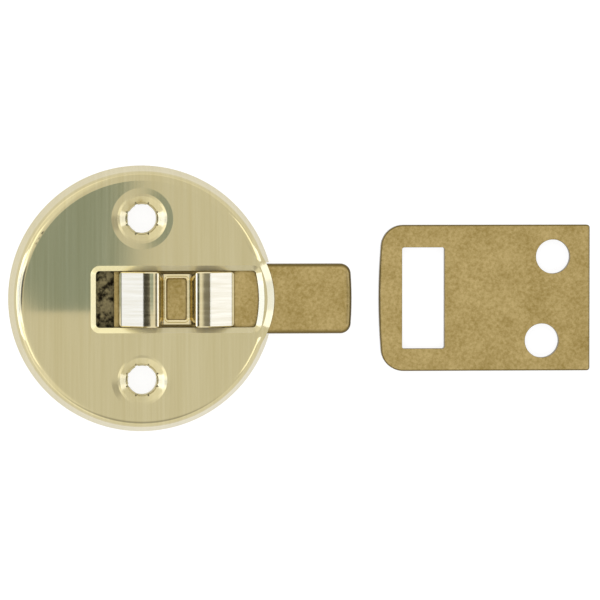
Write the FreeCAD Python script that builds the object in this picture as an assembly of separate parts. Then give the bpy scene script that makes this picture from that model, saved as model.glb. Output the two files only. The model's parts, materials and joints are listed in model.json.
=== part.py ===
import FreeCAD, Part

import math
import os

# A round surface bolt with a thumb grip, and its strike plate, in millimetres.
# The origin is the centre of the round cover, on the face that is screwed to the door.
# +X is the way the bolt is thrown, towards the strike, and +Z points out of the door.

# Round cover, drawn from sheet brass
COVER_DIAMETER = 38.0
COVER_SHEET = 0.8
COVER_SHOULDER = 1.4      # outer radius of the bend between face and wall
COVER_WALL_ANGLE = 75.0   # degrees between wall and door

# Slot that the thumb grip runs in, open almost to the rim
SLOT_WIDTH = 8.1
SLOT_BACK = -6.6          # X of the closed end
SLOT_RIM = 2.35           # from the far end, an arc round the cover's centre, to the base of the rim
SLOT_CORNER = 0.55
LIP_WIDTH = 0.75          # sloping lip all round the slot, seen from the front
LIP_DEPTH = 0.45

# Hood pressed out of the rim where the bolt leaves
HOOD_INSET = 0.15         # from the base of the rim back to the hood's outermost point
HOOD_RADIUS = 12.0        # radius of its outline, seen from the front
HOOD_SLOPE = 1.0          # width of its sloping front, seen from the front
HOOD_LAND = 0.2           # upright edge below the slope

# Dished screw holes, whose collars are pressed through the back plate
SCREW_SPACING = 23.0
SCREW_BORE = 4.2
COUNTERSINK = 6.4
COUNTERSINK_DEPTH = 0.85
DISH_DIAMETER = 8.8
DISH_DEPTH = 0.07
DISH_EDGE = 0.35          # bevel between dish and countersink, seen from the front
DISH_EDGE_DEPTH = 0.14
COLLAR_WALL = 0.5
SPLIT_COUNT = 8           # short splits where the sheet tore as the hole was pierced
SPLIT_WIDTH = 0.6
SPLIT_REACH = 0.45
SPLIT_DEPTH = 0.75

# Back plate, inside the rim
PLATE_THICKNESS = 0.6
PLATE_CLEARANCE = 0.15

# Bolt, a flat bar with rounded edges
BOLT_WIDTH = 10.0
BOLT_THICKNESS = 1.6
BOLT_REACH = 11.0         # beyond the base of the rim, as photographed, part thrown
BOLT_HEEL = 0.75          # ledge behind the thumb grip
BOLT_TIP_BOW = 0.25
BOLT_CORNER = 1.5
BOLT_EDGE = 0.9
BOLT_UNDER_EDGE = 0.2
BOLT_CLEARANCE = 0.15     # above the bolt, and on each side in the rim's notch
SPRING_ROOM = 0.65        # between bolt and back plate

# Thumb grip, a strip folded into two humps with a valley between them
GRIP_CENTRE = 4.9
GRIP_SHEET = 0.6
GRIP_RISE = 2.0           # from the face of the cover to the crests
GRIP_BROW = 2.85          # from the grip's centre to where each crest turns down to the valley
GRIP_SHOULDER = 4.15      # from the grip's centre to where each crest turns down to its outer slope
GRIP_TOE = 7.8            # from the grip's centre to the bottom of each outer slope
GRIP_FOOT = 0.35          # flat foot beyond each outer slope
GRIP_VALLEY = 4.4         # length of the valley's floor
GRIP_VALLEY_BEND = 0.5    # bend radii, at the middle of the sheet
GRIP_BROW_BEND = 0.5
GRIP_SHOULDER_BEND = 2.5
GRIP_TOE_BEND = 0.5
GRIP_CLEARANCE = 0.12     # each side in the slot
GRIP_WAIST_CUT = 0.35     # how far each side of the valley is cut in
GRIP_WAIST_LENGTH = 5.4
GRIP_WAIST_EASE = 0.9     # corner of the waist, as a share of its depth
GRIP_CORNER = 0.5
GRIP_EDGE = 0.15

# Tenon that stands up from the bolt into a window in the grip's valley
TENON_LENGTH = 2.8
TENON_WIDTH = 5.9
TENON_CORNER = 0.3
TENON_RECESS = 0.15       # below the valley's floor
BEAD_WIDTH = 0.4          # raised rim round the window
BEAD_HEIGHT = 0.25
BEAD_EDGE = 0.12

# Friction spring, a bowed leaf between back plate and bolt, whose crown stays under the bolt
SPRING_SHEET = 0.25
SPRING_WIDTH = 4.0
SPRING_LENGTH = 7.2
SPRING_CENTRE = 0.0
SPRING_CLEARANCE = 0.05
SPRING_CROWN = 10.0       # bend radii, at the middle of the leaf
SPRING_BEND = 0.25
SPRING_EDGE = 0.06
SPRING_TOE = 0.5          # how far each toe reaches into the back plate
SPRING_PLAY = 0.1         # round each toe

# Strike plate
STRIKE_GAP = 4.0          # from the tip of the bolt, as photographed
STRIKE_LENGTH = 30.3
STRIKE_WIDTH = 20.9
STRIKE_THICKNESS = 1.5
STRIKE_BOW = 0.6          # how far the receiving end curves out
STRIKE_CORNER = 3.2
STRIKE_BACK_CORNER = 0.4
STRIKE_EDGE = 0.2
KEEPER_INSET = 3.3        # from the receiving end to the rectangular hole
KEEPER_LENGTH = 6.1
KEEPER_WIDTH = 14.5
KEEPER_CORNER = 0.3
STRIKE_BORE = 4.9
STRIKE_HOLES = ((5.3, 5.9), (6.9, -6.15))   # back from the square end, and off the centre line

# Worked out from the values above
OVERCUT = 1.0             # how far a cutting body runs past what it cuts
TOUCH = 1e-4
WALL_SLOPE = math.radians(COVER_WALL_ANGLE)
COVER_RADIUS = COVER_DIAMETER / 2
INNER_RADIUS = COVER_RADIUS - COVER_SHEET / math.sin(WALL_SLOPE)
BOLT_BOTTOM = PLATE_THICKNESS + SPRING_ROOM
BOLT_TOP = BOLT_BOTTOM + BOLT_THICKNESS
CEILING = BOLT_TOP + BOLT_CLEARANCE
COVER_HEIGHT = CEILING + COVER_SHEET
SLOT_END = COVER_RADIUS - SLOT_RIM
BOLT_TIP = COVER_RADIUS + BOLT_REACH
NOTCH_WIDTH = BOLT_WIDTH + 2 * BOLT_CLEARANCE
NOTCH_TOP = BOLT_TOP + BOLT_CLEARANCE / 2
GRIP_WIDTH = SLOT_WIDTH - 2 * GRIP_CLEARANCE
GRIP_HALF = GRIP_TOE + GRIP_FOOT
BOLT_TAIL = GRIP_CENTRE - GRIP_HALF - BOLT_HEEL
TENON_RISE = GRIP_SHEET - TENON_RECESS
COLLAR_RADIUS = SCREW_BORE / 2 + COLLAR_WALL
SCREW_PLACES = (SCREW_SPACING / 2, -SCREW_SPACING / 2)
SPRING_ENDS = (SPRING_CENTRE - SPRING_LENGTH / 2, SPRING_CENTRE + SPRING_LENGTH / 2)
STRIKE_START = BOLT_TIP + STRIKE_GAP
STRIKE_END = STRIKE_START + STRIKE_LENGTH

HOOD_CENTRE = FreeCAD.Vector(COVER_RADIUS - HOOD_INSET - HOOD_RADIUS, 0, NOTCH_TOP)
Z = FreeCAD.Vector(0, 0, 1)


def point(x, y, z=0.0):
    return FreeCAD.Vector(x, y, z)


def line(a, b):
    return Part.LineSegment(a, b).toShape()


def arc(a, through, b):
    return Part.Arc(a, through, b).toShape()


def face(edges):
    return Part.Face(Part.Wire(edges))


def block(x0, x1, width, z0, z1):
    """A block centred on the line of the bolt."""
    return Part.makeBox(x1 - x0, width, z1 - z0, point(x0, -width / 2, z0))


def upright_edges(shape):
    """Straight edges along Z."""
    found = []
    for edge in shape.Edges:
        run = edge.Vertexes[-1].Point - edge.Vertexes[0].Point
        if run.Length > TOUCH and math.hypot(run.x, run.y) < TOUCH:
            found.append(edge)
    return found


def edges_at(shape, height):
    """Edges that lie at one height."""
    return [edge for edge in shape.Edges
            if abs(edge.BoundBox.ZMin - height) < TOUCH and abs(edge.BoundBox.ZMax - height) < TOUCH]


def rounded_block(x0, x1, width, z0, z1, corner):
    """A block with its four upright corners rounded."""
    body = block(x0, x1, width, z0, z1)
    return body.makeFillet(corner, upright_edges(body))


def drawn_dish(base_radius, bottom, top):
    """A solid dish with a flat top and a wall that flares to base_radius at Z 0."""
    lean = 1 / math.tan(WALL_SLOPE)
    return Part.makeCone(base_radius - bottom * lean, base_radius - top * lean, top - bottom, point(0, 0, bottom))


def hood_body():
    """The bulge of the rim over the bolt, with an upright edge and a sloping front above it."""
    edge = Part.makeCylinder(HOOD_RADIUS, HOOD_LAND, HOOD_CENTRE)
    slope = Part.makeCone(HOOD_RADIUS, HOOD_RADIUS - HOOD_SLOPE, COVER_HEIGHT - NOTCH_TOP - HOOD_LAND,
                          HOOD_CENTRE + Z * HOOD_LAND)
    return edge.fuse(slope)


def slot_block(margin, z0, z1):
    """The slot grown by a margin, closed behind by a square end and in front by an arc round the centre."""
    bar = block(SLOT_BACK - margin, COVER_RADIUS, SLOT_WIDTH + 2 * margin, z0, z1)
    room = bar.common(Part.makeCylinder(SLOT_END + margin, z1 - z0, point(0, 0, z0)))
    return room.makeFillet(SLOT_CORNER + margin, upright_edges(room))


def outline_at(shape, height):
    """The outline of a prism's flat face at one height."""
    return [side for side in shape.Faces if side.BoundBox.ZMin > height - TOUCH][0].OuterWire


def slot_cutter():
    """The slot through the face of the cover, with its lip sloping in all round."""
    low = COVER_HEIGHT - LIP_DEPTH
    high = COVER_HEIGHT + LIP_DEPTH
    narrow = outline_at(slot_block(0, CEILING - OVERCUT, low), low)
    wide = outline_at(slot_block(2 * LIP_WIDTH, low, high), high)
    lip = Part.makeLoft([narrow, wide], True, True)
    return slot_block(0, CEILING - OVERCUT, low).fuse(lip)


def split_cutter(bottom):
    """A wedge that opens into a screw bore, with its tip in the countersink."""
    bore = SCREW_BORE / 2
    tip = bore + SPLIT_REACH
    wide = bore - SPLIT_REACH
    corners = [point(tip, 0, bottom), point(wide, SPLIT_WIDTH, bottom), point(wide, -SPLIT_WIDTH, bottom)]
    return Part.Face(Part.makePolygon(corners + corners[:1])).extrude(point(0, 0, COVER_HEIGHT))


def screw_collar(y):
    """A dished screw seat with a tube below it that is pressed through the back plate."""
    bore = SCREW_BORE / 2
    seat = COUNTERSINK / 2
    dish = DISH_DIAMETER / 2
    seat_top = COVER_HEIGHT - DISH_DEPTH - DISH_EDGE_DEPTH
    seat_bottom = seat_top - COUNTERSINK_DEPTH
    section = [
        (dish, COVER_HEIGHT),
        (seat + DISH_EDGE, COVER_HEIGHT - DISH_DEPTH),
        (seat, seat_top),
        (bore, seat_bottom),
        (bore, 0),
        (COLLAR_RADIUS, 0),
        (COLLAR_RADIUS, seat_bottom - COVER_SHEET),
        (dish, CEILING),
    ]
    outline = Part.makePolygon([point(r, 0, z) for r, z in section + section[:1]])
    collar = Part.Face(outline).revolve(point(0, 0), Z, 360)
    split = split_cutter(seat_bottom - SPLIT_DEPTH)
    for number in range(SPLIT_COUNT):
        turned = split.copy()
        turned.rotate(point(0, 0), Z, 360 * (number + 0.5) / SPLIT_COUNT)
        collar = collar.cut(turned)
    collar.translate(point(0, y))
    return collar


def make_cover():
    shell = drawn_dish(COVER_RADIUS, 0, COVER_HEIGHT)
    shell = shell.makeFillet(COVER_SHOULDER, edges_at(shell, COVER_HEIGHT))
    shell = shell.fuse(hood_body()).removeSplitter()
    shell = shell.cut(drawn_dish(INNER_RADIUS, -OVERCUT, CEILING))
    shell = shell.cut(Part.makeCylinder(HOOD_RADIUS - COVER_SHEET, CEILING - NOTCH_TOP, HOOD_CENTRE))
    shell = shell.cut(block(0, COVER_RADIUS + OVERCUT, NOTCH_WIDTH, -OVERCUT, NOTCH_TOP))
    shell = shell.cut(slot_cutter())
    for y in SCREW_PLACES:
        shell = shell.cut(Part.makeCylinder(DISH_DIAMETER / 2, COVER_SHEET + OVERCUT,
                                            point(0, y, CEILING - OVERCUT / 2)))
        shell = shell.fuse(screw_collar(y))
    return shell.removeSplitter()


def make_back_plate():
    """A flat disc inside the rim, with holes for the collars and for the spring's toes."""
    radius = INNER_RADIUS - PLATE_THICKNESS / math.tan(WALL_SLOPE) - PLATE_CLEARANCE
    plate = Part.makeCylinder(radius, PLATE_THICKNESS)
    for y in SCREW_PLACES:
        plate = plate.cut(Part.makeCylinder(COLLAR_RADIUS, PLATE_THICKNESS, point(0, y)))
    half = SPRING_SHEET / 2 + SPRING_PLAY
    for x in SPRING_ENDS:
        plate = plate.cut(block(x - half, x + half, SPRING_WIDTH + 2 * SPRING_PLAY,
                                -OVERCUT, PLATE_THICKNESS + OVERCUT))
    return plate


def bowed_plate(start, end, width, bow, z0, z1):
    """A flat plate along X whose end bulges out by bow."""
    half = width / 2
    shoulder = end - math.copysign(bow, end - start)
    outline = face([
        line(point(start, half), point(start, -half)),
        line(point(start, -half), point(shoulder, -half)),
        arc(point(shoulder, -half), point(end, 0), point(shoulder, half)),
        line(point(shoulder, half), point(start, half)),
    ])
    outline.translate(point(0, 0, z0))
    return outline.extrude(point(0, 0, z1 - z0))


def make_bolt():
    """The bar, with a tenon half sheared up out of it for the thumb grip."""
    bar = bowed_plate(BOLT_TAIL, BOLT_TIP, BOLT_WIDTH, BOLT_TIP_BOW, BOLT_BOTTOM, BOLT_TOP)
    bar = bar.makeFillet(BOLT_CORNER, [edge for edge in upright_edges(bar) if edge.BoundBox.XMin > 0])
    bar = bar.makeFillet(BOLT_EDGE, [edge for edge in edges_at(bar, BOLT_TOP) if edge.BoundBox.XMax > 0])
    bar = bar.makeChamfer(BOLT_UNDER_EDGE, edges_at(bar, BOLT_BOTTOM))
    back = GRIP_CENTRE - TENON_LENGTH / 2
    front = GRIP_CENTRE + TENON_LENGTH / 2
    tenon = rounded_block(back, front, TENON_WIDTH, BOLT_TOP - TENON_RISE, BOLT_TOP + TENON_RISE, TENON_CORNER)
    pocket = rounded_block(back, front, TENON_WIDTH, BOLT_BOTTOM - OVERCUT, BOLT_BOTTOM + TENON_RISE,
                           TENON_CORNER)
    return bar.fuse(tenon).cut(pocket).removeSplitter()


def bent_path(corners, radii):
    """A path of straight runs joined by tangent arcs at its inner corners."""
    edges = []
    start = corners[0]
    for before, here, after, radius in zip(corners, corners[1:], corners[2:], radii):
        incoming = (here - before).normalize()
        outgoing = (after - here).normalize()
        half_turn = incoming.getAngle(outgoing) / 2
        setback = radius * math.tan(half_turn)
        inward = (outgoing - incoming).normalize()
        arc_start = here - incoming * setback
        arc_end = here + outgoing * setback
        middle = here + inward * (radius / math.cos(half_turn) - radius)
        edges.append(line(start, arc_start))
        edges.append(arc(arc_start, middle, arc_end))
        start = arc_end
    edges.append(line(start, corners[-1]))
    return Part.Wire(edges)


def bent_strip(corners, radii, sheet, width, bevel):
    """A strip of sheet, bevelled along its edges, bent along a path in the XZ plane at mid thickness."""
    along = (corners[1] - corners[0]).normalize()
    side = point(0, 1)
    up = along.cross(side)
    across = width / 2 - bevel
    through = sheet / 2 - bevel
    outline = []
    for y, z in ((-1, -1), (1, -1), (1, 1), (-1, 1)):
        ends = [side * (y * across) + up * (z * sheet / 2), side * (y * width / 2) + up * (z * through)]
        outline += ends if y * z < 0 else ends[::-1]
    outline = [corners[0] + place for place in outline]
    section = Part.makePolygon(outline + outline[:1])
    return bent_path(corners, radii).makePipeShell([section], True, False)


def grip_blank(top):
    """The grip's outline from the front, waisted beside the valley, as a prism up to top."""
    blank = rounded_block(-GRIP_HALF, GRIP_HALF, GRIP_WIDTH, 0, top, GRIP_CORNER)
    for side in (1, -1):
        waist = rounded_block(-GRIP_WAIST_LENGTH / 2, GRIP_WAIST_LENGTH / 2, 2 * GRIP_WAIST_CUT,
                              -OVERCUT, top + OVERCUT, GRIP_WAIST_CUT * GRIP_WAIST_EASE)
        waist.translate(point(0, side * GRIP_WIDTH / 2))
        blank = blank.cut(waist)
    return blank


def window_block(margin, z0, z1):
    """The window for the tenon, or what surrounds it by a margin."""
    half = TENON_LENGTH / 2 + margin
    return rounded_block(-half, half, TENON_WIDTH + 2 * margin, z0, z1, TENON_CORNER + margin)


def window_bead():
    """The raised rim of the window, with bevelled edges."""
    floor = BOLT_TOP + GRIP_SHEET
    bead = window_block(BEAD_WIDTH, floor, floor + BEAD_HEIGHT)
    bead = bead.cut(window_block(0, floor - OVERCUT, floor + OVERCUT))
    return bead.makeChamfer(BEAD_EDGE, edges_at(bead, floor + BEAD_HEIGHT))


def make_thumb_grip():
    low = BOLT_TOP + GRIP_SHEET / 2
    crest = COVER_HEIGHT + GRIP_RISE - GRIP_SHEET / 2
    hump = [
        point(GRIP_VALLEY / 2, 0, low),
        point(GRIP_BROW, 0, crest),
        point(GRIP_SHOULDER, 0, crest),
        point(GRIP_TOE, 0, low),
        point(GRIP_HALF + OVERCUT, 0, low),
    ]
    corners = [point(-corner.x, 0, corner.z) for corner in reversed(hump)] + hump
    radii = [GRIP_VALLEY_BEND, GRIP_BROW_BEND, GRIP_SHOULDER_BEND, GRIP_TOE_BEND]
    radii = radii[::-1] + radii
    strip = bent_strip(corners, radii, GRIP_SHEET, GRIP_WIDTH, GRIP_EDGE)
    grip = strip.common(grip_blank(COVER_HEIGHT + GRIP_RISE + OVERCUT))
    grip = grip.cut(window_block(0, 0, COVER_HEIGHT + OVERCUT)).fuse(window_bead()).removeSplitter()
    grip.translate(point(GRIP_CENTRE, 0))
    return grip


def make_friction_spring():
    """A leaf bowed up under the bolt, with a toe at each end in the back plate."""
    low = PLATE_THICKNESS + SPRING_SHEET / 2
    high = BOLT_BOTTOM - SPRING_CLEARANCE - SPRING_SHEET / 2
    back, front = SPRING_ENDS
    corners = [
        point(back, 0, PLATE_THICKNESS - SPRING_TOE),
        point(back, 0, low),
        point(SPRING_CENTRE, 0, high),
        point(front, 0, low),
        point(front, 0, PLATE_THICKNESS - SPRING_TOE),
    ]
    radii = [SPRING_BEND, SPRING_CROWN, SPRING_BEND]
    return bent_strip(corners, radii, SPRING_SHEET, SPRING_WIDTH, SPRING_EDGE)


def make_strike_plate():
    plate = bowed_plate(STRIKE_END, STRIKE_START, STRIKE_WIDTH, STRIKE_BOW, 0, STRIKE_THICKNESS)
    square_end = [e for e in upright_edges(plate) if e.Vertexes[0].X > STRIKE_END - TOUCH]
    plate = plate.makeFillet(STRIKE_BACK_CORNER, square_end)
    receiving_end = [e for e in upright_edges(plate) if e.Vertexes[0].X < STRIKE_START + STRIKE_BOW + TOUCH]
    plate = plate.makeFillet(STRIKE_CORNER, receiving_end)
    plate = plate.makeChamfer(STRIKE_EDGE, edges_at(plate, STRIKE_THICKNESS))
    keeper = STRIKE_START + KEEPER_INSET
    plate = plate.cut(rounded_block(keeper, keeper + KEEPER_LENGTH, KEEPER_WIDTH,
                                    -OVERCUT, STRIKE_THICKNESS + OVERCUT, KEEPER_CORNER))
    for inset, y in STRIKE_HOLES:
        plate = plate.cut(Part.makeCylinder(STRIKE_BORE / 2, STRIKE_THICKNESS + 2 * OVERCUT,
                                            point(STRIKE_END - inset, y, -OVERCUT)))
    return plate


PARTS = {
    "cover": make_cover,
    "back_plate": make_back_plate,
    "bolt": make_bolt,
    "thumb_grip": make_thumb_grip,
    "friction_spring": make_friction_spring,
    "strike_plate": make_strike_plate,
}


def main():
    os.makedirs("parts", exist_ok=True)
    for name, make in PARTS.items():
        shape = make()
        if len(shape.Solids) == 1:
            shape = shape.Solids[0]
        print(name, shape.ShapeType, len(shape.Solids), shape.isValid(), round(shape.Volume, 3))
        shape.exportStep(os.path.join("parts", name + ".step"))


main()
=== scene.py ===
# %% [markdown]
# # A round surface bolt in Blender
#
# A surface bolt is screwed to the face of a door: a thumb slides a flat brass bar out of a round
# cover and into a strike plate on the frame. The metal shapes come ready made from the packed
# CAD model, and only the small burrs of the torn screw holes are added here. What is left is
# what the eye sees first on brass, the way each piece was finished and the room that it mirrors,
# so this file is mostly about metal finishes and light.

import json
import math

import bpy
from mathutils import Matrix, Vector


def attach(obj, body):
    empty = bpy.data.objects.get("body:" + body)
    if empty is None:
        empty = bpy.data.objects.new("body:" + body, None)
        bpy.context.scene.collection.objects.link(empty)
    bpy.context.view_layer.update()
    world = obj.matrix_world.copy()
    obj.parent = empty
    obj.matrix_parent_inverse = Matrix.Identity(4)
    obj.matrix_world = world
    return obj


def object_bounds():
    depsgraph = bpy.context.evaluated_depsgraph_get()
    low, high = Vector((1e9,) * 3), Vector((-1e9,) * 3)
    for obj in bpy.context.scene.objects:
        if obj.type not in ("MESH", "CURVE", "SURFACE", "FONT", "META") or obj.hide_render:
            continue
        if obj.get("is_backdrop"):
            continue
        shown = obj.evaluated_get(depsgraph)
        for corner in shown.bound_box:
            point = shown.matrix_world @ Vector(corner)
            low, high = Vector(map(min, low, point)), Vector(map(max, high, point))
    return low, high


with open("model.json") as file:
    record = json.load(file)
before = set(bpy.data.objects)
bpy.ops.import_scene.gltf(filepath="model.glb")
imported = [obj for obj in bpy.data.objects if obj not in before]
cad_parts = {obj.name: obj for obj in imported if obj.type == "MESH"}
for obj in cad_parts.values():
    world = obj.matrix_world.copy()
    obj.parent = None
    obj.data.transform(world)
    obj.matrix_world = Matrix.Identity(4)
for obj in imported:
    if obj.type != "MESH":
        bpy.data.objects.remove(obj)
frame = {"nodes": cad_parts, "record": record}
CAD_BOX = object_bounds()
NODES = frame["nodes"]
MM = 0.001

bodies = frame["record"]["behaviour"]["bodies"]
print("bodies and their pieces:", {name: list(nodes) for name, nodes in bodies.items()})
print("box in mm:", [[round(v / MM, 2) for v in corner] for corner in CAD_BOX])

# %% [markdown]
# ## Colours and nodes
#
# Colours are written the way a paint or web chart gives them, as sRGB hex values. A shader works
# on linear light, so one function turns them. A second function adds one node, sets its values
# and wires its inputs, for shaders and for Geometry Nodes alike. With it a recipe reads from top
# to bottom, and each line names what comes out of one node.

# %% Helpers for colours and nodes
def linear(hex_colour):
    """An sRGB hex colour such as C8BD93 as linear red, green, blue and alpha."""
    parts = [int(hex_colour[i:i + 2], 16) / 255 for i in (0, 2, 4)]
    light = [c / 12.92 if c <= 0.04045 else ((c + 0.055) / 1.055) ** 2.4 for c in parts]
    return (*light, 1.0)


def add_node(tree, kind, settings=None, **inputs):
    """Adds a node, with settings as its properties, and fills its inputs.

    An input is named as its socket is, with _ for a space, or by its number: in0, in1 and so on.
    It takes a value, a socket, or another node, which stands for that node's first output.
    """
    node = tree.nodes.new(kind)
    for name, value in (settings or {}).items():
        setattr(node, name, value)
    for name, value in inputs.items():
        numbered = name.startswith("in") and name[2:].isdigit()
        socket = node.inputs[int(name[2:]) if numbered else name.replace("_", " ")]
        if isinstance(value, bpy.types.Node):
            value = next(output for output in value.outputs if output.enabled)
        if isinstance(value, bpy.types.NodeSocket):
            tree.links.new(value, socket)
        else:
            socket.default_value = value
    return node


def new_material(name):
    """A material with nothing in it yet, and its node tree."""
    material = bpy.data.materials.new(name)
    material.use_nodes = True
    material.node_tree.nodes.clear()
    return material, material.node_tree


MULTIPLY = {"operation": "MULTIPLY"}
COLOURS = {"data_type": "RGBA"}
SMOOTH = {"interpolation_type": "SMOOTHSTEP"}
print("satin brass in linear light:", [round(c, 3) for c in linear("C8BD93")])

# %% [markdown]
# ## Patterns in real millimetres
#
# Brushing, tumbling and phosphating all leave a pattern of a known size. Each pattern here reads
# Object coordinates, which are metres on the real part, and one function stretches a noise so
# that one grain of it is as many millimetres long as the real mark is. Blender's noise seldom
# leaves the range from 0.3 to 0.7, so that range is spread out where a pattern is used.

# %% Helpers for patterns of a real size
NOISE_RANGE = {"From_Min": 0.3, "From_Max": 0.7}


def grain(tree, size_mm, detail=2.0, roughness=0.5):
    """Noise whose grains are size_mm long along X, Y and Z."""
    place = add_node(tree, "ShaderNodeTexCoord").outputs["Object"]
    scaled = add_node(tree, "ShaderNodeMapping", Vector=place,
                      Scale=tuple(1 / (size * MM) for size in size_mm))
    return add_node(tree, "ShaderNodeTexNoise", Vector=scaled,
                    Scale=1.0, Detail=detail, Roughness=roughness)


def two_tone(tree, pattern, dark, light):
    """A colour that a pattern carries from dark to light."""
    share = add_node(tree, "ShaderNodeMapRange", Value=pattern, **NOISE_RANGE)
    return add_node(tree, "ShaderNodeMix", COLOURS, Factor=share,
                    in6=linear(dark), in7=linear(light))


# The belt's scratches are about 0.05 mm apart, drawn here at 0.35 mm so that they show.
BRUSH_LINE_MM = 0.35
print("brush lines, each", BRUSH_LINE_MM, "mm wide:", round(1 / BRUSH_LINE_MM, 1), "a millimetre")

# %% [markdown]
# ## Satin brass, brushed one way
#
# The round cover is drawn from sheet brass, brushed in one direction with an abrasive belt and
# left under a clear lacquer. The fine parallel scratches blur a reflection across them but
# not along them, so each edge of a reflection is soft to one side and sharp to the other. Two
# things make this: an anisotropic shader, whose tangent says which way the brush went, and
# streaks that are far longer than they are wide.
#
# The belt doesn't reach everywhere. Inside the bend of the rim, the sloping seats of the screw
# holes keep the press's duller skin. On the sloping lips of the slot the lacquer collects, thick
# enough to hide part of the metal. The left end of the lips gets a cream painted highlight. The
# direction that a face looks in finds the slopes, and its place tells the seats from the lips.

# %% Places on the cover that the belt missed
FLAT_FACE_END = 16.2 * MM      # radius at which the bend of the rim begins
BEND_MIDDLE = 16.8 * MM
LIPS_END = 5.5 * MM            # off the middle line: past the slot's lips
SEATS_START = 6.5 * MM         # and before the seats of the screw holes
LIP_HIGHLIGHT_FULL = -1.0 * MM          # along the slot: where the painted cream highlight starts to fade out
LIP_HIGHLIGHT_END = 3.0 * MM


def cover_places(tree):
    """Factors for the face inside the rim, the slopes in it, the lips, and the lips' left end,
    where a highlight is painted.
    """
    place = add_node(tree, "ShaderNodeTexCoord").outputs
    along, across, _ = add_node(tree, "ShaderNodeSeparateXYZ", Vector=place["Object"]).outputs
    seen_flat = add_node(tree, "ShaderNodeCombineXYZ", X=along, Y=across)
    radius = add_node(tree, "ShaderNodeVectorMath", {"operation": "LENGTH"}, in0=seen_flat)
    inside = add_node(tree, "ShaderNodeMapRange", SMOOTH, Value=radius.outputs["Value"],
                      From_Min=BEND_MIDDLE, From_Max=FLAT_FACE_END)
    lean = add_node(tree, "ShaderNodeSeparateXYZ", Vector=place["Normal"]).outputs["Z"]
    slope = add_node(tree, "ShaderNodeMapRange", SMOOTH, Value=lean, From_Min=0.99, From_Max=0.95)
    slopes = add_node(tree, "ShaderNodeMath", MULTIPLY, in0=slope, in1=inside)
    off_middle = add_node(tree, "ShaderNodeMath", {"operation": "ABSOLUTE"}, in0=across)
    beside_slot = add_node(tree, "ShaderNodeMapRange", SMOOTH, Value=off_middle,
                           From_Min=SEATS_START, From_Max=LIPS_END)
    lips = add_node(tree, "ShaderNodeMath", MULTIPLY, in0=slopes, in1=beside_slot)
    left_end = add_node(tree, "ShaderNodeMapRange", SMOOTH, Value=along,
                        From_Min=LIP_HIGHLIGHT_END, From_Max=LIP_HIGHLIGHT_FULL)
    # The left end of the lips, where a cream highlight is painted.
    painted_lip_highlight = add_node(tree, "ShaderNodeMath", MULTIPLY, in0=lips, in1=left_end)
    return inside, slopes, lips, painted_lip_highlight


print("flat face of the cover ends at radius", round(FLAT_FACE_END / MM, 1), "mm")

# %% [markdown]
# The finish itself puts the layers together. The streaks give the colour, then comes a cream
# painted highlight on the left end of the lips, and last a painted shade in the splits of the
# screw holes and other tight corners inside the rim. Ambient Occlusion finds them: it is low
# wherever the part's own walls stand close.

# %% Satin brushed brass
def satin_brushed_brass():
    # Brass rolled, drawn, brushed along Y and lacquered: pale, calm and streaked one way.
    material, tree = new_material("satin_brushed_brass")
    inside, slopes, lips, painted_lip_highlight = cover_places(tree)
    streaks = grain(tree, (BRUSH_LINE_MM, 14.0, 14.0), detail=3.0)
    wide_streaks = grain(tree, (2.2, 40.0, 40.0), detail=1.0)
    mixed = add_node(tree, "ShaderNodeMix", in0=0.6, in2=wide_streaks, in3=streaks)
    colour = two_tone(tree, mixed, "C1B588", "CBC097")
    # Painted highlight: cream painted on the left end of the slot's lips.
    colour = add_node(tree, "ShaderNodeMix", COLOURS, Factor=painted_lip_highlight,
                      in6=colour, in7=linear("EFE3AC"))
    # Painted shade: the colour goes dark in the splits of the screw holes and other tight corners
    # inside the rim, where Ambient Occlusion is low.
    open_sky = add_node(tree, "ShaderNodeAmbientOcclusion", {"samples": 8, "only_local": True},
                        Distance=0.5 * MM).outputs["AO"]
    unshaded_by_walls = add_node(tree, "ShaderNodeMapRange", SMOOTH, Value=open_sky,
                     From_Min=0.25, From_Max=0.6)
    unshaded = add_node(tree, "ShaderNodeMapRange", Value=inside, To_Min=1.0, To_Max=unshaded_by_walls)
    colour = add_node(tree, "ShaderNodeMix", COLOURS, Factor=unshaded,
                      in6=linear("4A4028"), in7=colour)

    brushed = add_node(tree, "ShaderNodeMapRange", Value=streaks, To_Min=0.08, To_Max=0.12,
                       **NOISE_RANGE)
    roughness = add_node(tree, "ShaderNodeMapRange", Value=slopes, To_Min=brushed, To_Max=0.20)
    metallic = add_node(tree, "ShaderNodeMapRange", Value=lips, To_Min=1.0, To_Max=0.25)
    tangent = add_node(tree, "ShaderNodeTangent", {"direction_type": "RADIAL", "axis": "Y"})
    bump = add_node(tree, "ShaderNodeBump", Strength=0.035, Distance=0.02 * MM, Height=streaks)
    shader = add_node(tree, "ShaderNodeBsdfPrincipled", Base_Color=colour, Metallic=metallic,
                      Roughness=roughness, Anisotropic=0.85, Tangent=tangent, Normal=bump)
    add_node(tree, "ShaderNodeOutputMaterial", Surface=shader)
    return material


SATIN_BRASS = satin_brushed_brass()
print(SATIN_BRASS.name, "takes", len(SATIN_BRASS.node_tree.nodes), "nodes")
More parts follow.
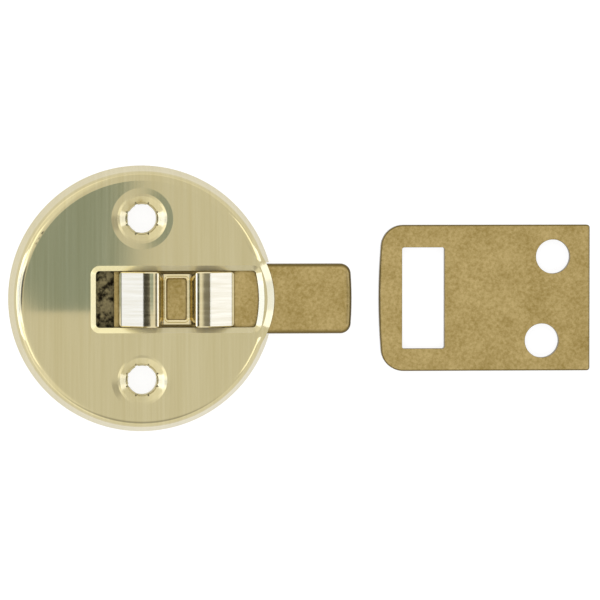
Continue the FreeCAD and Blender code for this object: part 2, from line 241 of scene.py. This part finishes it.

# %% [markdown]
# ## Tumbled brass
#
# The bolt and the strike plate are blanked from bar and strip and tumbled with abrasive stones,
# which takes the burrs off and leaves a fine, even, undirected grain. They look darker and more
# olive than the cover, because the tiny dents send part of each reflection elsewhere. The stones
# also round each sheared edge, and a Bevel node gives the rounded edge. Where its normal turns
# away from straight up, the colour is painted dark as a painted shade, and the corners where
# parts stand close get a painted shade too.

# %% Tumbled brass
def tumbled_brass():
    # Brass blanked from strip and tumbled: even, dull, with a fine mottled grain.
    material, tree = new_material("tumbled_brass")
    # The stones leave dents of about 0.1 mm, drawn here at 0.45 mm so that they show.
    dents = grain(tree, (0.45, 0.45, 0.45), detail=3.0, roughness=0.7)
    patches = grain(tree, (4.0, 4.0, 4.0), detail=1.0)
    mottle = add_node(tree, "ShaderNodeMix", in0=0.7, in2=patches, in3=dents)
    colour = two_tone(tree, mottle, "978045", "C9B279")

    # Painted shade: where the rounded edge leans away from straight up, the colour is painted dark.
    rounded = add_node(tree, "ShaderNodeBevel", {"samples": 8}, Radius=0.22 * MM)
    upward = add_node(tree, "ShaderNodeSeparateXYZ", Vector=rounded).outputs["Z"]
    upward = add_node(tree, "ShaderNodeMath", MULTIPLY, in0=upward, in1=upward)
    face = add_node(tree, "ShaderNodeMapRange", SMOOTH, Value=upward, From_Min=0.4, From_Max=0.96)
    colour = add_node(tree, "ShaderNodeMix", COLOURS, Factor=face,
                      in6=linear("645428"), in7=colour)
    # Painted shade: the colour goes dark where any part stands close, where Ambient Occlusion is
    # low.
    open_sky = add_node(tree, "ShaderNodeAmbientOcclusion", {"samples": 8},
                        Distance=1.0 * MM).outputs["AO"]
    unshaded = add_node(tree, "ShaderNodeMapRange", SMOOTH, Value=open_sky,
                     From_Min=0.35, From_Max=0.75)
    colour = add_node(tree, "ShaderNodeMix", COLOURS, Factor=unshaded,
                      in6=linear("3E3216"), in7=colour)

    roughness = add_node(tree, "ShaderNodeMapRange", Value=dents, To_Min=0.30, To_Max=0.42,
                         **NOISE_RANGE)
    bump = add_node(tree, "ShaderNodeBump", Strength=0.12, Distance=0.03 * MM, Height=dents,
                    Normal=rounded)
    shader = add_node(tree, "ShaderNodeBsdfPrincipled", Base_Color=colour, Metallic=1.0,
                      Roughness=roughness, Normal=bump)
    add_node(tree, "ShaderNodeOutputMaterial", Surface=shader)
    return material


TUMBLED_BRASS = tumbled_brass()
print(TUMBLED_BRASS.name, "takes", len(TUMBLED_BRASS.node_tree.nodes), "nodes")

# %% [markdown]
# ## Polished brass
#
# The thumb grip is folded from thin strip and buffed, so it mirrors the room. Its colour is
# almost all reflection: pale where a slope faces a lamp and nearly black where it faces none.

# %% Polished brass
def polished_brass():
    # Brass folded and buffed on a mop: a soft mirror with faint buffing lines.
    material, tree = new_material("polished_brass")
    # The mop's lines are under 0.05 mm wide, drawn here at 0.4 mm so that they show.
    lines = grain(tree, (6.0, 0.4, 6.0))
    roughness = add_node(tree, "ShaderNodeMapRange", Value=lines, To_Min=0.08, To_Max=0.13,
                         **NOISE_RANGE)
    shader = add_node(tree, "ShaderNodeBsdfPrincipled", Metallic=1.0, Roughness=roughness,
                      Base_Color=two_tone(tree, lines, "DCCDA0", "E5D8AE"))
    add_node(tree, "ShaderNodeOutputMaterial", Surface=shader)
    return material


POLISHED_BRASS = polished_brass()
print(POLISHED_BRASS.name, "takes", len(POLISHED_BRASS.node_tree.nodes), "nodes")

# %% [markdown]
# ## Steel inside
#
# The disc behind the mechanism is sheet steel, phosphated and oiled against rust, and the leaf
# that rubs on the bolt is spring steel, blued by its heat treatment. They show only from behind
# and in the open end of the slot, where they make it look dark.

# %% Phosphated steel and spring steel
def phosphated_steel():
    # Sheet steel under a phosphate coat and oil: dark brown-grey, with a mottle of fine crystals.
    material, tree = new_material("phosphated_steel")
    # The crystals are under 0.1 mm, drawn here at 0.9 mm so that they show.
    crystals = grain(tree, (0.9, 0.9, 0.9), detail=3.0, roughness=0.65)
    share = add_node(tree, "ShaderNodeMapRange", SMOOTH, Value=crystals,
                     From_Min=0.34, From_Max=0.66)
    colour = add_node(tree, "ShaderNodeMix", COLOURS, Factor=share,
                      in6=linear("1E180E"), in7=linear("A89A70"))
    roughness = add_node(tree, "ShaderNodeMapRange", Value=crystals, To_Min=0.35, To_Max=0.55,
                         **NOISE_RANGE)
    shader = add_node(tree, "ShaderNodeBsdfPrincipled", Base_Color=colour, Metallic=1.0,
                      Roughness=roughness)
    add_node(tree, "ShaderNodeOutputMaterial", Surface=shader)
    return material


def blued_spring_steel():
    # Hardened strip, tempered to a dark blue-grey: smooth, with rolling lines along it.
    material, tree = new_material("blued_spring_steel")
    # Rolling lines are about 0.1 mm wide, drawn here at 0.3 mm so that they show.
    lines = grain(tree, (8.0, 0.3, 8.0))
    roughness = add_node(tree, "ShaderNodeMapRange", Value=lines, To_Min=0.25, To_Max=0.33,
                         **NOISE_RANGE)
    shader = add_node(tree, "ShaderNodeBsdfPrincipled", Metallic=1.0, Roughness=roughness,
                      Base_Color=two_tone(tree, lines, "3A3835", "524F4A"))
    add_node(tree, "ShaderNodeOutputMaterial", Surface=shader)
    return material


PHOSPHATED_STEEL = phosphated_steel()
SPRING_STEEL = blued_spring_steel()
print(PHOSPHATED_STEEL.name, "and", SPRING_STEEL.name, "are the two steels")

# %% [markdown]
# ## Each piece and its finish
#
# A CAD piece keeps its shape and place. It only swaps its plain material for a finish.

# %% Give each piece its finish
FINISHES = {
    "cover": SATIN_BRASS,
    "back_plate": PHOSPHATED_STEEL,
    "bolt": TUMBLED_BRASS,
    "thumb_grip": POLISHED_BRASS,
    "friction_spring": SPRING_STEEL,
    "strike_plate": TUMBLED_BRASS,
}
for node, finish in FINISHES.items():
    slots = NODES[node].data.materials
    slots.clear()
    slots.append(finish)
    print(node, "is", finish.name)

# %% [markdown]
# ## Burrs round the screw holes
#
# The press pierces each screw hole and flares it in one stroke. The sheet splits into eight
# petals, and the end of each curls over as a small tongue with a bead along it. Eight beads a
# hole, twice over, are the same shape again and again along a circle, which is work for
# Geometry Nodes: one arc is swept into a bead, set round a hole by instancing, and the ring is
# set at both holes. Tearing is never even, so a fixed seed gives each bead its own height.

# %% A node group for the burrs
BURR_INPUTS = {
    "Ring Radius": "NodeSocketFloat", "Hole Spacing": "NodeSocketFloat",
    "Tongues": "NodeSocketInt", "Sweep": "NodeSocketFloat", "Bead Radius": "NodeSocketFloat",
    "Height": "NodeSocketFloat", "Seed": "NodeSocketInt", "Material": "NodeSocketMaterial",
}
TAPER_FLOOR = 0.15             # thinnest end of a bead, as a share of its middle
LOWEST, HIGHEST = 0.7, 1.2     # range of the beads' heights


def burr_group():
    group = bpy.data.node_groups.new("burr_tongues", "GeometryNodeTree")
    for name, kind in BURR_INPUTS.items():
        group.interface.new_socket(name=name, in_out="INPUT", socket_type=kind)
    group.interface.new_socket(name="Geometry", in_out="OUTPUT", socket_type="NodeSocketGeometry")
    given = add_node(group, "NodeGroupInput").outputs

    # One bead: an arc, thick in the middle and round at both ends.
    start = add_node(group, "ShaderNodeMath", MULTIPLY, in0=given["Sweep"], in1=-0.5)
    arc = add_node(group, "GeometryNodeCurveArc", {"mode": "RADIUS"}, Resolution=13,
                   Radius=given["Ring Radius"], Start_Angle=start, Sweep_Angle=given["Sweep"])
    done = add_node(group, "GeometryNodeSplineParameter").outputs["Factor"]
    left = add_node(group, "ShaderNodeMath", {"operation": "SUBTRACT"}, in0=1.0, in1=done)
    swell = add_node(group, "ShaderNodeMath", MULTIPLY, in0=done, in1=left)
    swell = add_node(group, "ShaderNodeMath", MULTIPLY, in0=swell, in1=4.0)
    swell = add_node(group, "ShaderNodeMath", {"operation": "POWER"}, in0=swell, in1=0.5)
    swell = add_node(group, "ShaderNodeMath", {"operation": "MAXIMUM"}, in0=swell, in1=TAPER_FLOOR)
    tapered = add_node(group, "GeometryNodeSetCurveRadius", Curve=arc, Radius=swell)
    profile = add_node(group, "GeometryNodeCurvePrimitiveCircle", Resolution=12,
                       Radius=given["Bead Radius"])
    bead = add_node(group, "GeometryNodeCurveToMesh", Curve=tapered, Profile_Curve=profile,
                    Fill_Caps=True)

    # A ring of beads, each turned a share of the circle further and stretched its own way.
    share = add_node(group, "ShaderNodeMath", {"operation": "DIVIDE"},
                     in0=math.tau, in1=given["Tongues"])
    index = add_node(group, "GeometryNodeInputIndex")
    angle = add_node(group, "ShaderNodeMath", MULTIPLY, in0=index, in1=share)
    turn = add_node(group, "ShaderNodeCombineXYZ", Z=angle)
    uneven = add_node(group, "FunctionNodeRandomValue", Seed=given["Seed"], in2=LOWEST, in3=HIGHEST)
    stretch = add_node(group, "ShaderNodeCombineXYZ", X=1.0, Y=1.0, Z=uneven)
    points = add_node(group, "GeometryNodePoints", Count=given["Tongues"])
    ring = add_node(group, "GeometryNodeInstanceOnPoints", Points=points, Instance=bead,
                    Rotation=turn, Scale=stretch)

    # The ring at both holes.
    far = add_node(group, "ShaderNodeMath", MULTIPLY, in0=given["Hole Spacing"], in1=0.5)
    near = add_node(group, "ShaderNodeMath", MULTIPLY, in0=far, in1=-1.0)
    far_hole = add_node(group, "ShaderNodeCombineXYZ", Y=far, Z=given["Height"])
    near_hole = add_node(group, "ShaderNodeCombineXYZ", Y=near, Z=given["Height"])
    holes = add_node(group, "GeometryNodeMeshLine", {"mode": "END_POINTS"}, Count=2,
                     Start_Location=near_hole, Offset=far_hole)
    both = add_node(group, "GeometryNodeInstanceOnPoints", Points=holes, Instance=ring)

    real = add_node(group, "GeometryNodeRealizeInstances", Geometry=both)
    smooth = add_node(group, "GeometryNodeSetShadeSmooth", Geometry=real)
    finished = add_node(group, "GeometryNodeSetMaterial", Geometry=smooth,
                        Material=given["Material"])
    add_node(group, "NodeGroupOutput", Geometry=finished)
    return group


BURR_GROUP = burr_group()
print(BURR_GROUP.name, "takes", len(BURR_GROUP.nodes), "nodes and", len(BURR_INPUTS), "inputs")

# %% [markdown]
# A node group only says how the beads are made. An empty object gets the group as a modifier
# with this part's sizes, and the mesh that comes out is kept in its place. The middle of each
# bead lies in the torn edge, so that only half of it stands clear of the sheet.

# %% Bake the burrs into one mesh
def baked(name, group, values):
    """A new object with the plain mesh that a node group makes from these inputs."""
    piece = bpy.data.objects.new(name, bpy.data.meshes.new(name + "_start"))
    bpy.context.scene.collection.objects.link(piece)
    modifier = piece.modifiers.new("nodes", "NODES")
    modifier.node_group = group
    for socket in group.interface.items_tree:
        if socket.in_out == "INPUT":
            modifier[socket.identifier] = values[socket.name]
    graph = bpy.context.evaluated_depsgraph_get()
    made = bpy.data.meshes.new_from_object(piece.evaluated_get(graph), depsgraph=graph)
    piece.modifiers.clear()
    piece.data = made
    made.name = name
    return piece


BURR_SIZES = {
    "Ring Radius": 2.17 * MM, "Hole Spacing": 23.0 * MM, "Tongues": 8, "Sweep": math.radians(32),
    "Bead Radius": 0.14 * MM, "Height": 2.83 * MM, "Seed": 7, "Material": SATIN_BRASS,
}
burrs = baked("screw_hole_burrs", BURR_GROUP, BURR_SIZES)
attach(burrs, "housing")
burr_box = [[round(end(v.co[axis] for v in burrs.data.vertices) / MM, 2) for axis in range(3)]
            for end in (min, max)]
print("burrs:", len(burrs.data.polygons), "faces, from and to in mm:", burr_box)

# %% [markdown]
# ## The table
#
# The object lies on a white table. Its material glows to the camera, and in mirrors, so that it
# is white in the picture without more light on the brass, and the lit half of it keeps the
# object's soft shadow.

# %% White table
TABLE_GLOW = 0.86
TABLE_WIDTH = 6.0
TABLE_DROP = 0.05 * MM         # below the part, so that the two never share a face
PART_MIDDLE = 22 * MM          # halfway along the part


def white_table():
    material, tree = new_material("white_table")
    path = add_node(tree, "ShaderNodeLightPath").outputs
    seen = path["Is Camera Ray"]
    for ray in ("Is Glossy Ray", "Is Transmission Ray"):
        seen = add_node(tree, "ShaderNodeMath", {"operation": "MAXIMUM"}, in0=seen, in1=path[ray])
    glow = add_node(tree, "ShaderNodeMath", MULTIPLY, in0=seen, in1=TABLE_GLOW)
    matt = add_node(tree, "ShaderNodeBsdfDiffuse", Color=(0.25, 0.25, 0.25, 1.0))
    light = add_node(tree, "ShaderNodeEmission", Color=(1.0, 1.0, 1.0, 1.0), Strength=glow)
    both = add_node(tree, "ShaderNodeAddShader", in0=matt, in1=light)
    add_node(tree, "ShaderNodeOutputMaterial", Surface=both)
    return material


def studio_sheet(name, outline, height, material):
    """A level sheet of the studio with this outline, in metres: the table, or a card."""
    flat = bpy.data.meshes.new(name)
    flat.from_pydata([(x, y, height) for x, y in outline], [], [tuple(range(len(outline)))])
    flat.materials.append(material)
    sheet = bpy.data.objects.new(name, flat)
    bpy.context.scene.collection.objects.link(sheet)
    sheet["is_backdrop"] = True
    return sheet


half = TABLE_WIDTH / 2
table_outline = [(PART_MIDDLE - half, -half), (PART_MIDDLE + half, -half),
                 (PART_MIDDLE + half, half), (PART_MIDDLE - half, half)]
studio_sheet("table", table_outline, -TABLE_DROP, white_table())
print("table", TABLE_WIDTH, "m wide, at", -TABLE_DROP / MM, "mm")

# %% [markdown]
# ## The room that the brass mirrors
#
# Metal looks like what it mirrors. The camera looks down almost square on, so a level face
# mirrors the ceiling and shows the colour it was given. A face that leans mirrors a point twice
# as far from straight up as it leans, so each slope of the part looks at its own piece of the
# room. The room is painted as a function of direction: white, a little brighter by the floor
# and on the left, with a dark strip on either side and a dim near side. The strips are narrow.
# They darken the folds of the thumb grip, which face exactly left and right, and leave the
# round rim bright. The near side draws the thin dark line on the rim's lower part.
#
# Each zone of the room has a brightness and its bounds. A bound says where the zone starts and
# where it is full, measured along side (to the right), across (away from the viewer) or height,
# which run from -1 to 1, or along slant, the square of across over side.

# %% The room
STRIP_SLANT, STRIP_HEIGHT = (0.05, 0.02), (0.22, 0.36)
ZONES = {
    "strip on the left": (0.05, {"slant": STRIP_SLANT, "height": STRIP_HEIGHT,
                                 "side": (-0.12, -0.30)}),
    "strip on the right": (0.25, {"slant": STRIP_SLANT, "height": STRIP_HEIGHT,
                                  "side": (0.12, 0.30)}),
    "near side": (0.6, {"across": (-0.65, -0.80), "height": (0.30, 0.42)}),
    "horizon": (1.2, {"height": (0.35, 0.20)}),
    "left side": (1.25, {"side": (-0.15, -0.40)}),
}


def studio_room():
    world = bpy.data.worlds.new("studio_room")
    bpy.context.scene.world = world
    world.use_nodes = True
    tree = world.node_tree
    tree.nodes.clear()
    direction = add_node(tree, "ShaderNodeTexCoord").outputs["Generated"]
    side, across, height = add_node(tree, "ShaderNodeSeparateXYZ", Vector=direction).outputs
    slant = add_node(tree, "ShaderNodeMath", {"operation": "DIVIDE"}, in0=across, in1=side)
    slant = add_node(tree, "ShaderNodeMath", MULTIPLY, in0=slant, in1=slant)
    measures = {"side": side, "across": across, "height": height, "slant": slant}
    level = 1.0
    for brightness, bounds in ZONES.values():
        zone = 1.0
        for measure, (start, full) in bounds.items():
            bound = add_node(tree, "ShaderNodeMapRange", SMOOTH, Value=measures[measure],
                             From_Min=start, From_Max=full)
            zone = add_node(tree, "ShaderNodeMath", MULTIPLY, in0=zone, in1=bound)
        change = add_node(tree, "ShaderNodeMapRange", Value=zone, To_Min=1.0, To_Max=brightness)
        level = add_node(tree, "ShaderNodeMath", MULTIPLY, in0=level, in1=change)
    path = add_node(tree, "ShaderNodeLightPath").outputs
    shown = add_node(tree, "ShaderNodeMix", COLOURS, Factor=path["Is Camera Ray"],
                     in6=level, in7=(1.0, 1.0, 1.0, 1.0))
    sky = add_node(tree, "ShaderNodeBackground", Color=shown, Strength=1.0)
    add_node(tree, "ShaderNodeOutputWorld", Surface=sky)


studio_room()
print("brightness of the room's zones:", {name: zone[0] for name, zone in ZONES.items()})

# %% [markdown]
# ## Softboxes
#
# A low softbox on each side fills the outer slopes of the thumb grip with white. The dark
# strips of the room are there for the folds of the grip, and the cover should not show them.
# So two narrow lamps fill the strips again, with light linking that lets only the cover see
# them, and one more draws the bright line just inside the rim. Brass takes the blue out of what
# it mirrors, so a cool daylight comes back as the nearly neutral white of the picture. A softbox
# is given by how bright it looks, and the lamp's power follows from its area.

# %% Softboxes
COOL_DAYLIGHT = (0.56, 0.64, 1.0)
WHITE = (1.0, 1.0, 1.0)
MIDDLE = Vector((0.0, 0.0, 0.003))
COVER = NODES["cover"]


def softbox(name, place, size, brightness, colour, lights=None):
    """A rectangular lamp, aimed at the part, that looks as bright as a surface of this strength."""
    lamp = bpy.data.lights.new(name, "AREA")
    lamp.shape = "RECTANGLE"
    lamp.size, lamp.size_y = size
    lamp.energy = brightness * math.pi * size[0] * size[1]
    lamp.color = colour
    light = bpy.data.objects.new(name, lamp)
    light.location = place
    light.rotation_euler = (MIDDLE - Vector(place)).to_track_quat("-Z", "Y").to_euler()
    bpy.context.scene.collection.objects.link(light)
    if lights:
        light.light_linking.receiver_collection = bpy.data.collections.new(name + "_lights")
        light.light_linking.receiver_collection.objects.link(lights)
    print(name, "power", round(lamp.energy, 3), "W")


softbox("softbox_left", (-0.52, 0.0, 0.179), (0.40, 0.336), 2.0, COOL_DAYLIGHT)
softbox("softbox_right", (0.513, 0.0, 0.197), (0.40, 0.25), 1.8, COOL_DAYLIGHT)
softbox("line_on_cover", (-0.36, 0.0, 0.347), (0.18, 0.34), 1.3, COOL_DAYLIGHT, lights=COVER)
softbox("fill_on_cover_left", (-0.335, 0.0, 0.372), (0.49, 0.11), 1.0, WHITE, lights=COVER)
softbox("fill_on_cover_right", (0.383, 0.0, 0.321), (0.56, 0.12), 1.2, WHITE, lights=COVER)

# %% [markdown]
# ## A grey card overhead
#
# In the picture the upper left of the cover mirrors something grey-green above it, with a
# straight lower edge. A card does the same here. It is seen only in mirrors. Its outline was
# drawn back from the patch: the point of the card that a point of the flat cover mirrors lies
# close above it, shifted a little because the camera stands off to the left and beyond.

# %% Grey card
CARD_HEIGHT = 64 * MM
CARD_GLOW = (0.44, 0.53, 0.56, 1.0)
CARD_OUTLINE_MM = [(0.6, -4.2), (1.3, 18.0), (-8.0, 16.5), (-14.0, 13.5), (-18.5, 7.3),
                   (-19.0, 1.8), (-14.2, -4.2)]


def grey_card():
    material, tree = new_material("grey_card")
    glow = add_node(tree, "ShaderNodeEmission", Color=CARD_GLOW, Strength=1.0)
    add_node(tree, "ShaderNodeOutputMaterial", Surface=glow)
    return material


card_outline = [(x * MM, y * MM) for x, y in CARD_OUTLINE_MM]
card = studio_sheet("grey_card", card_outline, CARD_HEIGHT, grey_card())
card.visible_camera = False
card.visible_diffuse = False
card.visible_shadow = False
print("card with", len(card_outline), "corners hangs at", CARD_HEIGHT / MM, "mm")

# %% [markdown]
# ## The camera
#
# The picture was taken from above with a long lens, from a little to the left and beyond, which
# the round holes and the far faces of the thumb grip give away. The focal length follows from
# the width of the frame on the table and the distance, so the size on the picture is right by
# construction.

# %% Camera
CAMERA_AIM = Vector((22.75, -0.29, 0.0)) * MM
CAMERA_PLACE = Vector((-35.0, 32.0, 800.0)) * MM
FRAME_WIDTH = 85.9 * MM
PICTURE_UP = Vector((0.0, 1.0, 0.0))

camera = bpy.data.cameras.new("camera")
camera.lens = camera.sensor_width * (CAMERA_PLACE - CAMERA_AIM).length / FRAME_WIDTH
camera_object = bpy.data.objects.new("camera", camera)
backward = (CAMERA_PLACE - CAMERA_AIM).normalized()
rightward = PICTURE_UP.cross(backward).normalized()
axes = Matrix((rightward, backward.cross(rightward), backward)).transposed()
camera_object.matrix_world = axes.to_4x4()
camera_object.location = CAMERA_PLACE
bpy.context.scene.collection.objects.link(camera_object)
bpy.context.scene.camera = camera_object
bpy.context.scene.view_settings.view_transform = "Standard"
print("lens", round(camera.lens, 1), "mm")

# %% [markdown]
# ## The two boxes
#
# The box of the CAD model and the box of the visual model are worked out and printed in
# millimetres, one after the other.

# %% The two boxes
SIZES = {"cad": [list(map(float, corner)) for corner in CAD_BOX],
         "visual": [list(map(float, corner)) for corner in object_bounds()]}
for name, box in SIZES.items():
    print(name, "box in mm:", [[round(v / MM, 2) for v in corner] for corner in box])
